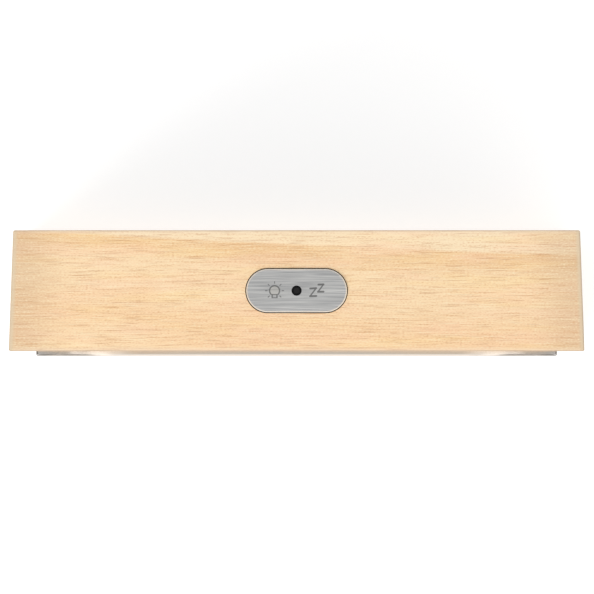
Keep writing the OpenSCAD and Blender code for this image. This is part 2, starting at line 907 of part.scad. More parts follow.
module contact_positive() {
    plate_x = mov_x - mov_wall - 0.6;
    color("lightgray") dialspace() {
        slab(9.3, 21) span(plate_x, cell_y - 5, plate_x + strip_t, strip_y + strip_t);
        contact_tail(plate_x + strip_t, -24, -24);
        translate([cell_len / 2 + 0.05, cell_y, -cell_d]) rotate([0, 90, 0])
            cylinder(r = 1.6, h = plate_x - cell_len / 2 - 0.05, $fn = 32);
    }
}

module contact_negative() {
    plate_x = -mov_x + mov_wall + 0.3;
    bow = -cell_len / 2 - 0.05;
    color("lightgray") dialspace() {
        slab(9.3, 21) span(plate_x, cell_y - 5, plate_x + strip_t, strip_y + strip_t);
        contact_tail(plate_x, plate_x + 1, plate_x);
        translate([0, cell_y - 3, 0]) rotate([-90, 0, 0]) linear_extrude(height = 6)
            polygon([
                [plate_x, 10.5],
                [plate_x + strip_t, 10.5],
                [bow, cell_d - 1.5],
                [bow, cell_d + 1.5],
                [plate_x + strip_t + 0.6, 20],
                [plate_x + strip_t + 0.4, 20],
                [bow - strip_t, cell_d + 1.2],
                [bow - strip_t, cell_d - 1.2],
                [plate_x, 11.2]
            ]);
    }
}

// Sounder: a round can with a sound hole towards the cover
module buzzer() {
    base_t = 1.2;
    color("black") dialspace() translate(buzzer_at) difference() {
        union() {
            slab(buzzer_layer[0] + base_t, buzzer_layer[1]) circle(buzzer_r);
            slab(buzzer_layer[0], buzzer_layer[0] + base_t) circle(buzzer_r - 1);
        }
        slab(buzzer_layer[1] - 1.5, buzzer_layer[1] + over) circle(1.6, $fn = 48);
    }
}

function unit(v) = v / norm(v);

function tangent(p, i) = unit(p[min(i + 1, len(p) - 1)] - p[max(i - 1, 0)]);

function normals(p, i, n) =
    i == len(p) ? [] :
    let (t = tangent(p, i), m = unit(n - (n * t) * t))
    concat([m], normals(p, i + 1, m));

function blend(a, b, c, d, t) =
    0.5 * (2 * b + (c - a) * t + (2 * a - 5 * b + 4 * c - d) * t * t + (3 * b - a - 3 * c + d) * t * t * t);

// Smooth path through points chosen by hand, with equal steps in each stretch
function smooth(p, steps) =
    let (n = len(p) - 1)
    [
        for (i = [0 : n - 1])
            for (k = [0 : steps - 1])
                blend(p[max(i - 1, 0)], p[i], p[i + 1], p[min(i + 2, n)], k / steps),
        p[n]
    ];

// One insulated wire as a closed tube of eight sides
module wire(p, r) {
    sides = 8;
    frames = normals(p, 0, [0, 0, 1]);
    rings = len(p);
    points = [
        for (i = [0 : rings - 1])
            let (t = tangent(p, i), m = frames[i], b = cross(t, m))
            for (k = [0 : sides - 1])
                p[i] + r * (cos(k * 360 / sides) * m + sin(k * 360 / sides) * b)
    ];
    faces = concat(
        [[for (k = [0 : sides - 1]) k]],
        [
            for (i = [0 : rings - 2])
                for (k = [0 : sides - 1])
                    let (a = i * sides + k, b = i * sides + (k + 1) % sides)
                    for (face = [[a, a + sides, b + sides], [a, b + sides, b]]) face
        ],
        [[for (k = [sides - 1 : -1 : 0]) (rings - 1) * sides + k]]
    );
    polyhedron(points = points, faces = faces);
}

wire_r = 0.5;

// Routes in the dial's plane, with the depth as a negative height
buzzer_route = [
    [-37, 1.5, -16.9], [-35, 1.5, -15.6], [-32, 1.7, -15.9], [-29.5, 1.7, -16.6], [-27, 1.7, -16.6]
];
switch_route = [
    [-12, 42.9, -17], [-13, 38.5, -17], [-19, 31, -16], [-28, 25, -15.2],
    [-32, 18, -15.2], [-32, 13, -15.8], [-30, 8.5, -16.6], [-25.8, 8.4, -16.6]
];

// Two wires side by side, with the gap between their starts and between the rest
module pair_of_wires(route, first, rest) {
    for (s = [0, 1])
        wire(
            smooth([for (i = [0 : len(route) - 1]) route[i] + s * (i == 0 ? first : rest)], 4),
            wire_r
        );
}

module buzzer_lead() {
    color("red") dialspace() pair_of_wires(buzzer_route, [0, 1.3, 0], [0, 1.3, 0]);
}

module switch_lead() {
    color("orange") dialspace() pair_of_wires(switch_route, [-1.2, 0, 0], [-1.2, 1.2, 0]);
}

// Leaf spring beside the alarm wheel that closes the sounder's circuit
module alarm_contact() {
    color("gold") dialspace() {
        slab(9.4, 9.65) span(-22.4, 3, -9.9, 4.4);
        slab(9.4, pcb_layer[0]) span(-22.4, 3, -22.15, 4.4);
    }
}

module rotor_magnet() {
    color("darkslategray") dialspace() translate(rotor_at)
        ring(magnet_r, 1, magnet_layer[0], magnet_layer[1]);
}

module rotor_pinion() {
    color("white") dialspace() translate(rotor_at) {
        arbor(arbor_r, pivot_front_d + 0.1, pivot_back_d);
        arbor(1, magnet_layer[0], magnet_layer[1]);
        slab(magnet_layer[1], fifth_layer[1] + 0.2) gear(rotor_n, rotor_mod, pinion_form, rotor_phase);
    }
}

module fifth_wheel() {
    color("white") dialspace() translate(fifth_at) {
        arbor(arbor_r, pivot_front_d + 0.1, pivot_back_d);
        moulded_wheel(fifth_n, rotor_mod, fifth_phase, fifth_layer, 4);
        slab(second_layer[0] - 0.2, fifth_layer[0])
            gear(fifth_pin_n, fifth_mod, pinion_form, fifth_pin_phase);
    }
}

module third_wheel() {
    color("white") dialspace() translate(third_at) {
        arbor(arbor_r, pivot_front_d + 0.1, pivot_back_d);
        moulded_wheel(third_n, second_mod, third_phase, third_layer, 5);
        slab(centre_layer[0] - 0.2, third_layer[0])
            gear(third_pin_n, centre_mod, pinion_form, third_pin_phase);
    }
}

module second_wheel() {
    color("white") dialspace() {
        arbor(arbor_r, second_cap_d, pivot_back_d);
        moulded_wheel(second_n, fifth_mod, second_phase, second_layer, 5);
        slab(third_layer[0] - 0.1, second_layer[0])
            gear(second_pin_n, second_mod, pinion_form, second_pin_phase);
    }
}

// Clockwise angles of the hands from the top of the dial
minute_turn = 6 * rest_minute + rest_second / 10;
hour_turn = 30 * rest_hour + minute_turn / 12;
second_turn = 6 * rest_second;
alarm_turn = 30 * rest_alarm;

module hub(r, bore_r, layer) {
    ring(r, bore_r, layer[0], layer[1]);
}

// Straight hand that narrows to its tip, with a short tail
module blade(len, tail, wide, narrow, layer, hole_r) {
    slab(layer[0], layer[1]) difference() {
        union() {
            polygon([
                [-wide / 2, -tail],
                [wide / 2, -tail],
                [wide / 2, 0],
                [narrow / 2, len],
                [-narrow / 2, len],
                [-wide / 2, 0]
            ]);
            translate([0, len]) circle(narrow / 2, $fn = 24);
            translate([0, -tail]) circle(wide / 2, $fn = 24);
        }
        circle(hole_r);
    }
}

// Thin hand with a round counterweight and a closed cap over its arbor
module second_hand() {
    color("orangered") dialspace() rotate([0, 0, -second_turn]) difference() {
        union() {
            arbor(2, second_hub[0], second_hub[1]);
            blade(second_len, second_tail, 0.9, 0.5, second_blade, arbor_r);
            translate([0, -second_tail, 0]) arbor(1.6, second_blade[0], second_blade[1]);
        }
        arbor(arbor_r, second_cap_d, dial_d);
    }
}

module centre_wheel() {
    color("white") dialspace() difference() {
        moulded_wheel(centre_n, centre_mod, centre_phase, centre_layer, 5);
        slab(0, mov_split_d) circle(cannon_out_r + pivot_gap);
    }
}

module cannon_pinion() {
    color("wheat") dialspace() difference() {
        union() {
            arbor(cannon_out_r, minute_hub[0] + 0.1, centre_layer[1] + 0.2);
            slab(cannon_layer[0], cannon_layer[1]) gear(cannon_n, cannon_mod, pinion_form, cannon_phase);
        }
        slab(0, mov_split_d) circle(cannon_in_r);
    }
}

module minute_hand() {
    color("black") dialspace() rotate([0, 0, -minute_turn]) difference() {
        union() {
            hub(3.2, cannon_out_r, minute_hub);
            blade(minute_len, 9, 2.6, 1.2, minute_blade, cannon_out_r);
        }
        slab(0, dial_d) circle(cannon_out_r);
    }
}

module minute_wheel() {
    color("wheat") dialspace() translate(minute_at) {
        arbor(knob_shaft_r, pivot_front_d + 0.1, knob_front_d);
        slab(hour_layer[0] - 0.1, cannon_layer[0])
            gear(minute_pin_n, hour_mod, pinion_form, minute_pin_phase);
        moulded_wheel(minute_n, cannon_mod, minute_phase, cannon_layer, 4);
    }
}

// Ribbed knob with a dished face and a finger bar across it
module knob() {
    ribs = 36;
    rib = 0.35;
    outline = [
        for (i = [0 : ribs - 1])
            for (k = [0 : 3])
                polar(knob_r - (k > 1 ? rib : 0), (i + [0.15, 0.55, 0.65, 1.05][k]) * 360 / ribs)
    ];
    difference() {
        slab(knob_front_d, cover_face_d) polygon(outline);
        slab(cover_face_d - 1.4, cover_face_d + over) circle(knob_r - 1.3);
    }
    slab(cover_face_d - 1.6, cover_face_d - 0.1) square([2 * knob_r - 2, 1.8], center = true);
}

module set_knob() {
    color("black") dialspace() translate(minute_at) knob();
}

module hour_wheel() {
    color("wheat") dialspace() difference() {
        union() {
            arbor(hour_out_r, hour_hub[0] + 0.1, hour_layer[1]);
            moulded_wheel(hour_n, hour_mod, hour_phase, hour_layer, 5);
        }
        slab(0, mov_split_d) circle(hour_in_r);
    }
}

module hour_hand() {
    color("black") dialspace() rotate([0, 0, -hour_turn]) difference() {
        union() {
            hub(4.2, hour_out_r, hour_hub);
            blade(hour_len, 0, 3.6, 2, hour_blade, hour_out_r);
        }
        slab(0, dial_d) circle(hour_out_r);
    }
}

// Alarm wheel on the outermost tube, with a slot for the cam that sets the alarm off
module alarm_wheel() {
    color("wheat") dialspace() difference() {
        union() {
            arbor(alarm_out_r, alarm_hub[0] + 0.1, alarm_layer[1]);
            slab(alarm_layer[0], alarm_layer[1]) gear(alarm_n, alarm_mod, wheel_form, alarm_phase);
        }
        slab(0, mov_split_d) circle(alarm_in_r);
        rotate([0, 0, 60]) translate([5.5, 0]) slab(0, mov_split_d) square([2.4, 1.2], center = true);
    }
}

module alarm_hand() {
    color("darkorange") dialspace() rotate([0, 0, -alarm_turn]) difference() {
        union() {
            hub(3.4, alarm_out_r, alarm_hub);
            blade(alarm_len, 0, 1.6, 0.9, alarm_blade, alarm_out_r);
        }
        slab(0, dial_d) circle(alarm_out_r);
    }
}

module alarm_pinion() {
    color("wheat") dialspace() translate(alarm_at) {
        arbor(knob_shaft_r, pivot_front_d + 0.1, knob_front_d);
        slab(alarm_layer[0] - 0.1, alarm_layer[1] + 0.1)
            gear(alarm_pin_n, alarm_mod, pinion_form, alarm_pin_phase);
    }
}

module alarm_knob() {
    color("dimgray") dialspace() translate(alarm_at) knob();
}

// Alarm switch: ribbed thumb piece, stem through both slots, foot inside
module alarm_slider() {
    color("silver") dialspace() translate([slider_x, slider_y, 0]) {
        slab(mov_split_d - 0.9, mov_split_d - 0.3) square(slider_foot, center = true);
        slab(mov_split_d - 0.3, well_floor_d + 0.3) square(slider_stem, center = true);
        slab(well_floor_d + 0.3, well_floor_d + 2.1) square(slider_foot, center = true);
        for (x = [-1.6, 0, 1.6])
            translate([x, 0]) slab(well_floor_d + 2.1, well_floor_d + 2.9)
                square([0.8, slider_foot[1]], center = true);
    }
}

cap_top_z = top_z + button_out;

// Half a chamfered disc's profile swept straight between two turned ends
module button_cap() {
    r = button_w / 2;
    l = button_l - button_w;
    rim = button_t - cap_bevel;
    color("lightgray") at_button() translate([0, 0, cap_top_z - button_t]) difference() {
        union() {
            for (s = [-1, 1])
                translate([s * l / 2, 0, 0]) {
                    cylinder(r = r, h = rim);
                    translate([0, 0, rim]) cylinder(r1 = r, r2 = r - cap_bevel, h = cap_bevel);
                }
            rotate([90, 0, 90]) linear_extrude(height = l, center = true)
                polygon([
                    [-r, 0],
                    [r, 0],
                    [r, rim],
                    [r - cap_bevel, button_t],
                    [cap_bevel - r, button_t],
                    [-r, rim]
                ]);
        }
        translate([0, 0, -over]) cylinder(d = lens_dia, h = button_t + 2 * over, $fn = 48);
    }
}

// Moulded guide of the cap, with the flange that holds it under the wood
module button_carrier() {
    color("black") at_button() difference() {
        union() {
            translate([0, 0, flange_z])
                linear_extrude(height = flange_t) rounded_rect(flange_l, flange_w, 1.5);
            translate([0, 0, flange_z + flange_t])
                linear_extrude(height = cap_top_z - button_t - flange_z - flange_t)
                    stadium(carrier_l, carrier_w);
        }
        translate([0, 0, flange_z - over]) cylinder(d = lens_dia, h = 20, $fn = 48);
    }
}

module sensor_lens() {
    color("midnightblue") at_button() translate([0, 0, flange_z - 2.6])
        cylinder(d = lens_dia, h = cap_top_z - 0.05 - flange_z + 2.6, $fn = 48);
}

module switch_plungers() {
    color("ivory") at_button() for (s = [-1, 1])
        translate([s * switch_x, 0, flange_z - 2.1]) cylinder(r = plunger_r, h = 2.1, $fn = 48);
}

// Door over the cell: plate with a nail scoop and three thumb ribs, and a
// hinge barrel with two pins
module battery_door() {
    color("dimgray") dialspace() {
        difference() {
            slab(cover_face_d - door_t, cover_face_d) span(-door_w / 2, hinge_y, door_w / 2, door_high);
            translate([0, door_high, 0])
                slab(cover_face_d - 0.5, cover_face_d + over) stadium(scoop[0], scoop[1]);
        }
        for (i = [1 : 3])
            slab(cover_face_d - 0.1, cover_face_d + 0.25)
                span(-scoop[0] / 2, door_high - 2.2 - 1.2 * i, scoop[0] / 2, door_high - 1.6 - 1.2 * i);
        translate([-door_w / 2, hinge_y, -hinge_d]) rotate([0, 90, 0])
            cylinder(r = hinge_barrel_r, h = door_w, $fn = 48);
        for (s = [0, 1])
            mirror([s, 0, 0]) door_hinge(hinge_pin_r, hinge_pin_len);
    }
}

case();
bezel();
glass();
glass_gasket();
light_ring();
dial_frame();
dial();
centre_nut();
rear_cover();
rear_cover_screws();
rubber_feet();
switch_board();
snooze_switches();
light_sensor();
dial_lamps();
switch_bracket();
bracket_screws();
movement_front();
movement_back();
movement_screws();
circuit_board();
control_chip();
crystal();
coil_bobbin();
coil_winding();
stator();
battery();
contact_positive();
contact_negative();
buzzer();
buzzer_lead();
switch_lead();
alarm_contact();
rotor_magnet();
rotor_pinion();
fifth_wheel();
third_wheel();
second_wheel();
second_hand();
centre_wheel();
cannon_pinion();
minute_hand();
minute_wheel();
set_knob();
hour_wheel();
hour_hand();
alarm_wheel();
alarm_hand();
alarm_pinion();
alarm_knob();
alarm_slider();
button_cap();
button_carrier();
sensor_lens();
switch_plungers();
battery_door();
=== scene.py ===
"""The looks of a square wooden alarm clock, piece by piece as it is put together."""

import math

import bmesh
import bpy
from mathutils import Matrix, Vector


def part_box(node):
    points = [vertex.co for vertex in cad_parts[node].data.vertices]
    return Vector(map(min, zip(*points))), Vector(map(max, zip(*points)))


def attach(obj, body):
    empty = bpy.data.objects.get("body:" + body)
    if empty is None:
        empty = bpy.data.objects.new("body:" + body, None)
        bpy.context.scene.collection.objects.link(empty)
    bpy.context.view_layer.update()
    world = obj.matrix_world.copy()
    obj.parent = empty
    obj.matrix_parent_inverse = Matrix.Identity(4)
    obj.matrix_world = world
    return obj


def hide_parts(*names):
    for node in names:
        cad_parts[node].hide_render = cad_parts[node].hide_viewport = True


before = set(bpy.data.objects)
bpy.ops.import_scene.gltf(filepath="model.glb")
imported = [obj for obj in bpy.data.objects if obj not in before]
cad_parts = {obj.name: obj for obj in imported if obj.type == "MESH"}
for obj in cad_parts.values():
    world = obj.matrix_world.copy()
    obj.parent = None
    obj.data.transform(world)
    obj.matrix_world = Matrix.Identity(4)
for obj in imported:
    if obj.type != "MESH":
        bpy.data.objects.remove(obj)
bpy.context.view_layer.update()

# The camera hangs three metres over the front edge of the block and looks down on
# its top face, so that neither its front nor its sides are in the picture.
wood_low, wood_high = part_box("case")
camera_height = 3.0
picture_width = 0.12377
picture_x = 0.000083
picture_y = (wood_low.y + wood_high.y) / 2 - 0.001325
camera = bpy.data.objects.new("camera", bpy.data.cameras.new("camera"))
bpy.context.scene.collection.objects.link(camera)
bpy.context.scene.camera = camera
camera.location = (picture_x, wood_low.y, wood_high.z + camera_height)
camera.rotation_euler.x = math.atan((picture_y - wood_low.y) / camera_height)
camera.data.lens = camera.data.sensor_width * camera_height / picture_width


# The room is white all round. Its light is a little weaker than its look, because
# one large soft lamp over the front left adds the rest. Metal also sees a grey band
# that runs over the clock from left to right.
room_light = 0.76
band_grey = 0.62
MM = 0.001


class Value:
    """A number that varies over a surface. Arithmetic on it adds Math nodes."""

    def __init__(self, nodes, socket):
        self.nodes = nodes
        self.socket = socket

    def maths(self, operation, *values):
        return self.nodes.node("Math", {"operation": operation}, dict(enumerate(values)))

    def __add__(self, other):
        return self.maths("ADD", self, other)

    def __radd__(self, other):
        return self.maths("ADD", other, self)

    def __sub__(self, other):
        return self.maths("SUBTRACT", self, other)

    def __rsub__(self, other):
        return self.maths("SUBTRACT", other, self)

    def __mul__(self, other):
        return self.maths("MULTIPLY", self, other)

    def __rmul__(self, other):
        return self.maths("MULTIPLY", other, self)

    def __truediv__(self, other):
        return self.maths("DIVIDE", self, other)

    def __rtruediv__(self, other):
        return self.maths("DIVIDE", other, self)

    def __abs__(self):
        return self.maths("ABSOLUTE", self)

    def least(self, other):
        return self.maths("MINIMUM", self, other)

    def most(self, other):
        return self.maths("MAXIMUM", self, other)

    def fraction(self):
        return self.maths("FRACT", self)

    def root(self):
        return self.maths("SQRT", self)

    def rise(self, low, high):
        """0 below low and 1 above high, or the other way round if low is the larger."""
        span = {"Value": self, "From Min": low, "From Max": high}
        return self.nodes.node("MapRange", {"interpolation_type": "SMOOTHSTEP"}, span)


class Nodes:
    """The nodes of one material, or of the room's light."""

    def __init__(self, owner):
        self.owner = owner
        owner.use_nodes = True
        owner.node_tree.nodes.clear()

    def node(self, kind, settings=(), sockets=(), out=0):
        """Adds one node: its settings first, then its sockets' values or links. Gives
        the output that out names, or one for each name in a tuple."""
        made = self.owner.node_tree.nodes.new("ShaderNode" + kind)
        for name, setting in dict(settings).items():
            if name == "stops":
                first, *between, last = setting
                ends = made.color_ramp.elements
                ends[0].position, ends[0].color = first
                ends[1].position, ends[1].color = last
                for place, colour in between:
                    ends.new(place).color = colour
            else:
                setattr(made, name, setting)
        for name, value in dict(sockets).items():
            if isinstance(value, Value):
                self.owner.node_tree.links.new(value.socket, made.inputs[name])
            else:
                made.inputs[name].default_value = value
        if isinstance(out, tuple):
            return [Value(self, made.outputs[name]) for name in out]
        return Value(self, made.outputs[out])

    def end(self, kind, sockets):
        """Adds the output node."""
        self.node(kind, {}, sockets, out=())

    def place(self):
        """Where the surface is, in millimetres, as one vector."""
        metres = self.node("TexCoord", out="Object")
        return self.node("VectorMath", {"operation": "SCALE"}, {0: metres, "Scale": 1 / MM})

    def axes(self, place):
        """The three numbers of a vector."""
        return self.node("SeparateXYZ", {}, {0: place}, out=(0, 1, 2))

    def cloud(self, place, size, detail=2, roughness=0.5):
        """Noise from 0 to 1 whose patches measure size millimetres along each axis."""
        scaled = self.node("VectorMath", {"operation": "DIVIDE"}, {0: place, 1: size})
        sockets = {"Vector": scaled, "Scale": 1, "Detail": detail, "Roughness": roughness}
        return self.node("TexNoise", {}, sockets)

    def tint(self, amount, below, above):
        """One colour where amount is 0 and the other where it is 1."""
        return self.node("Mix", {"data_type": "RGBA"}, {0: amount, 6: below, 7: above}, out=2)

    def surface(self, colour, roughness, metallic, relief, depth, plain=()):
        """Ends a material. relief runs from 0 to 1, and depth is its height in
        millimetres. plain holds what is the same all over."""
        normal = self.node("Bump", {}, {"Height": relief, "Distance": depth * MM})
        sockets = {
            "Base Color": colour,
            "Roughness": roughness,
            "Metallic": metallic,
            "Normal": normal,
            **dict(plain),
        }
        self.end("OutputMaterial", {"Surface": self.node("BsdfPrincipled", {}, sockets)})


def looked_at(nodes):
    """Two masks: all rays from the camera, off metal or through glass, and only those
    off metal."""
    camera_ray, glossy_ray, passing_ray = nodes.node(
        "LightPath", out=("Is Camera Ray", "Is Glossy Ray", "Is Transmission Ray")
    )
    return camera_ray.most(glossy_ray).most(passing_ray), glossy_ray


studio = Nodes(bpy.data.worlds.new("studio"))
bpy.context.scene.world = studio.owner
bpy.context.scene.view_settings.view_transform = "Standard"
looking, mirrored = looked_at(studio)
_, back, up = studio.axes(studio.node("TexCoord", out="Generated"))
grey_band = abs(back).rise(0.34, 0.22) * up.rise(0.05, 0.21) * mirrored
brightness = room_light + looking * (1 - room_light) - grey_band * (1 - band_grey)
backdrop = studio.node("Background", {}, {"Color": brightness})
studio.end("OutputWorld", {"Surface": backdrop})

lamp = bpy.data.objects.new("lamp", bpy.data.lights.new("lamp", "AREA"))
bpy.context.scene.collection.objects.link(lamp)
lamp.data.shape = "DISK"
lamp.data.size = 1.2
lamp.data.energy = 15.3
lamp.location = (-0.9, -1.1, 1.6)
lamp.rotation_euler = (-lamp.location).to_track_quat("-Z", "Y").to_euler()
lamp.visible_glossy = False


# The floor is pale and matt, and looks white where nothing shades it. Metal sees it
# darker far in front of the clock. From below it is clear, so that the feet show.
floor_reach = 4
floor_glow = 0.54
far_start = -0.4
far_end = -0.8


def paint(*seen):
    """A colour as it is seen, as red, green and blue from 0 to 255, turned into light."""
    parts = [c / 255 for c in seen]
    return (*(c / 12.92 if c <= 0.04045 else ((c + 0.055) / 1.055) ** 2.4 for c in parts), 1)


def material(name):
    """A new material without any nodes."""
    return Nodes(bpy.data.materials.new(name))


def flat(name, finish, height, start, end):
    """A level sheet between two opposite corners. It isn't part of the clock."""
    mesh = bpy.data.meshes.new(name)
    corners = [start, (end[0], start[1]), end, (start[0], end[1])]
    mesh.from_pydata([(*corner, height) for corner in corners], [], [range(4)])
    mesh.materials.append(finish.owner)
    sheet = bpy.data.objects.new(name, mesh)
    bpy.context.scene.collection.objects.link(sheet)
    return sheet


floor = material("floor")
looking, mirrored = looked_at(floor)
_, away, _ = floor.axes(floor.node("TexCoord", out="Object"))
far = away.rise(far_start, far_end) * mirrored
matt = floor.node("BsdfDiffuse", {}, {"Color": paint(226, 226, 226)})
glow = floor.node("Emission", {}, {"Color": looking * floor_glow * (1 - far)})
upper = floor.node("AddShader", {}, {0: matt, 1: glow})
clear = floor.node("BsdfTransparent")
under = floor.node("NewGeometry", out="Backfacing")
both_sides = floor.node("MixShader", {}, {0: under, 1: upper, 2: clear})
floor.end("OutputMaterial", {"Surface": both_sides})
flat("floor", floor, 0, (-floor_reach, -floor_reach), (floor_reach, floor_reach))


# Grey cards lie on the floor in front of the clock and on both sides of it. They
# only show as reflections, and give the polished bezel its dark and light lines.
# Those beside the block, nearly black under its ends, are a painted shadow of the floor.
card_height = 0.002
sharp_edge = 0.01
soft_edge = 0.5
front_line = -0.0155
back_line = 0.05
side_line = 0.071


def card(name, grey_level, fade, start, end):
    """A card that fades out to white at its edges, over a share of its size."""
    grey = material(name)
    along, away, _ = grey.axes(grey.node("TexCoord", out="Generated"))
    inside = along.least(1 - along).least(away.least(1 - away))
    shade = 1 - inside.rise(0, fade) * (1 - grey_level)
    grey.end("OutputMaterial", {"Surface": grey.node("Emission", {}, {"Color": shade})})
    sheet = flat(name, grey, card_height, start, end)
    sheet.visible_camera = False
    sheet.visible_diffuse = False
    sheet.visible_transmission = False
    sheet.visible_shadow = False


card("front_card", 0.4, soft_edge, (-0.34, -0.62), (0.34, -0.03))
# Painted shadow seen only in the metal: the under cards are nearly black
for side, grey_level in ((-1, 0.02), (1, 0.09)):
    under_end = (side * side_line, back_line)
    card("under_card", grey_level, sharp_edge, (side * 0.052, front_line), under_end)
    card("side_card", 0.45, sharp_edge, (side * side_line, front_line), (side * 0.2, back_line))
    card("corner_card", 0.3, sharp_edge, (side * 0.058, -0.28), (side * 0.36, front_line))


# The block is one piece of pale, straight-grained wood, bored from both sides and
# finished with thin matt oil. The grain runs from left to right.
wood_front = wood_low.y / MM
wood_back = wood_high.y / MM
wood_top = wood_high.z / MM
wood_bottom = 1
side_draft = 2.1
wood = material("wood")
place = wood.place()
x, y, z = wood.axes(place)


def distance(u, v):
    """The length of a line that runs u along one axis and v along another."""
    return (u * u + v * v).root()


# Its year rings lie round a line that runs across in front of the dial, so that they
# cross the top as bands and show as arcs on the ends
pith_ahead = 60
pith_height = 70
first_ring = 86.7
ring_gap = 24.8
ring_slant = 0.034
ring_bend = 0.0002
ring_drift = 1.2
from_pith = distance(y + pith_ahead, z - pith_height)
drift = wood.cloud(place, (70, 14, 14), 1) * (2 * ring_drift) - ring_drift
year_ring = (from_pith + x * ring_slant - x * x * ring_bend + drift - first_ring) / ring_gap
light_wood = paint(252, 228, 190)
plain_wood = paint(251, 220, 177)
warm_wood = paint(250, 212, 166)
late_wood = paint(243, 203, 153)
ring_stops = [
    (0, light_wood),
    (0.15, light_wood),
    (0.3, warm_wood),
    (0.48, warm_wood),
    (0.64, plain_wood),
    (0.84, plain_wood),
    (0.94, late_wood),
    (0.985, late_wood),
    (1, light_wood),
]
tone = wood.node("ValToRGB", {"stops": ring_stops}, {0: year_ring.fraction()})

# Patches of it are golden, pale or rosy
gold = wood.cloud(place, (26, 2.6, 2.6))
tone = wood.tint(gold.rise(0.45, 0.66) * 0.4, tone, paint(254, 220, 159))
pale = wood.cloud(place, (34, 9, 9))
tone = wood.tint(pale.rise(0.46, 0.66) * 0.5, tone, paint(255, 226, 184))
blush = wood.cloud(place, (18, 3.4, 3.4))
tone = wood.tint(blush.rise(0.45, 0.66) * 0.4, tone, paint(252, 209, 173))

# The wood is a little darker towards both ends
half_width = wood_high.x / MM - (y - wood_front) * math.tan(math.radians(side_draft))
from_side = half_width - abs(x)
tone = wood.tint(from_side.rise(13, 1) * 0.5, tone, paint(214, 182, 146))

# The grain is made of long fibres, shorter strands and flecks, with open pores
fibres = wood.cloud(place, (26, 0.2, 0.2), 1)
strands = wood.cloud(place, (6, 0.2, 0.2), 1)
flecks = wood.cloud(place, (0.5, 0.2, 0.2), 1)
hairs = wood.cloud(place, (6, 0.16, 0.16), 1)
grain = fibres * 0.27 + strands * 0.33 + flecks * 0.4
tone = wood.tint(grain.rise(0.5, 0.36) * 0.62, tone, paint(221, 169, 119))
tone = wood.tint(grain.rise(0.5, 0.64) * 0.66, tone, paint(255, 237, 200))
pores = hairs.rise(0.6, 0.72)
tone = wood.tint(pores * 0.5, tone, paint(202, 146, 102))

# The edges are sanded round, with a painted highlight beside them and painted shade along them
from_face = (y - wood_front).least(wood_back - y)
from_top = (z - wood_bottom).least(wood_top - z)
from_edge = from_side.least(from_face).most(from_side.most(from_face).least(from_top))
# Painted highlight: a paler line beside each edge
tone = wood.tint(from_edge.rise(1, 0.3) * 0.4, tone, paint(248, 224, 196))
# Painted shade at the top corners of the ends
end_corner_shade = from_side.rise(1.3, 0.3) * from_top.rise(1.2, 0.3)
tone = wood.tint(end_corner_shade * 0.7, tone, paint(220, 201, 170))
# Painted shade along each edge, deepest along the edges of the front face
deeper_shade_at_front = (y - wood_front).rise(0.5, 0.3)
tone = wood.tint(from_edge.rise(0.3, 0.1) * (0.5 + deeper_shade_at_front * 0.4), tone, paint(196, 170, 142))
wood.surface(tone, 0.52 + pores * 0.2, 0, grain * 0.5 - pores * 0.6, 0.03)


def dress(finish, *names):
    """Gives CAD nodes a finish."""
    for name in names:
        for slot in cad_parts[name].material_slots:
            slot.material = finish.owner


dress(wood, "case")


# The bezel is a turned ring of polished steel, pressed into the wood. Fine rings
# from the lathe show on its face.
dial_z = 61
lathe_rings = 14
bezel = material("bezel_metal")
place = bezel.place()
x, _, z = bezel.axes(place)
from_middle = distance(x, z - dial_z)
turned = bezel.node(
    "TexNoise",
    {"noise_dimensions": "1D"},
    {"W": from_middle * lathe_rings, "Scale": 1, "Detail": 3},
)
smears = bezel.cloud(place, (9, 9, 9), 3)
bezel.surface(
    bezel.tint(turned, paint(232, 219, 205), paint(244, 234, 222)),
    0.13 + turned * 0.08 + smears.rise(0.45, 0.7) * 0.06,
    1,
    turned,
    0.0015,
)


def facing_front(depth_y):
    """From a drawing in millimetres, x right and y up, to the front of the dial."""
    upright = Matrix.Rotation(math.pi / 2, 4, "X")
    return Matrix.Translation((0, depth_y, dial_z * MM)) @ upright @ Matrix.Scale(MM, 4)


def turn(mesh, profile, steps):
    """A closed outline of radius and height, turned round its axis as on a lathe."""
    rounds = []
    for i in range(steps):
        c = math.cos(2 * math.pi * i / steps)
        s = math.sin(2 * math.pi * i / steps)
        rounds.append([mesh.verts.new((r * c, r * s, h)) for r, h in profile])
    for here, following in zip(rounds, rounds[1:] + rounds[:1]):
        for j in range(len(profile)):
            k = (j + 1) % len(profile)
            mesh.faces.new((here[j], following[j], following[k], here[k]))


def piece(name, mesh, matrix, finish, body, smooth_below=0):
    """Puts a finished mesh in place on a body of the clock. Edges that turn by less
    than an angle in degrees look smooth."""
    mesh.transform(matrix)
    bmesh.ops.remove_doubles(mesh, verts=mesh.verts, dist=1e-7)
    bmesh.ops.recalc_face_normals(mesh, faces=mesh.faces)
    data = bpy.data.meshes.new(name)
    mesh.to_mesh(data)
    mesh.free()
    data.materials.append(finish.owner)
    data.shade_smooth()
    data.set_sharp_from_angle(angle=math.radians(smooth_below))
    made = bpy.data.objects.new(name, data)
    bpy.context.scene.collection.objects.link(made)
    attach(made, body)
    return made


# The profile runs from its skirt in the wood over the rim to the dished face
bezel_profile = [
    (49.3, -6),
    (50.3, -6),
    (50.3, 0),
    (55.3, 0),
    (55.3, 0.59),
    (55.3, 0.61),
    (55.292, 0.65),
    (55.232, 0.93),
    (55.222, 0.95),
    (55.195, 0.985),
    (55.15, 1),
    (55.08, 1),
    (53.25, 1),
    (53.05, 0.988),
    (52.85, 0.965),
    (48.5, 0.425),
    (48.36, 0.4),
    (48.3, 0.34),
    (48.3, 0.1),
    (49.3, 0.1),
]
turned_bezel = bmesh.new()
turn(turned_bezel, bezel_profile, 288)
bezel_ring = piece(
    "bezel_ring", turned_bezel, facing_front(wood_low.y), bezel, "clock", 25
)
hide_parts("bezel")


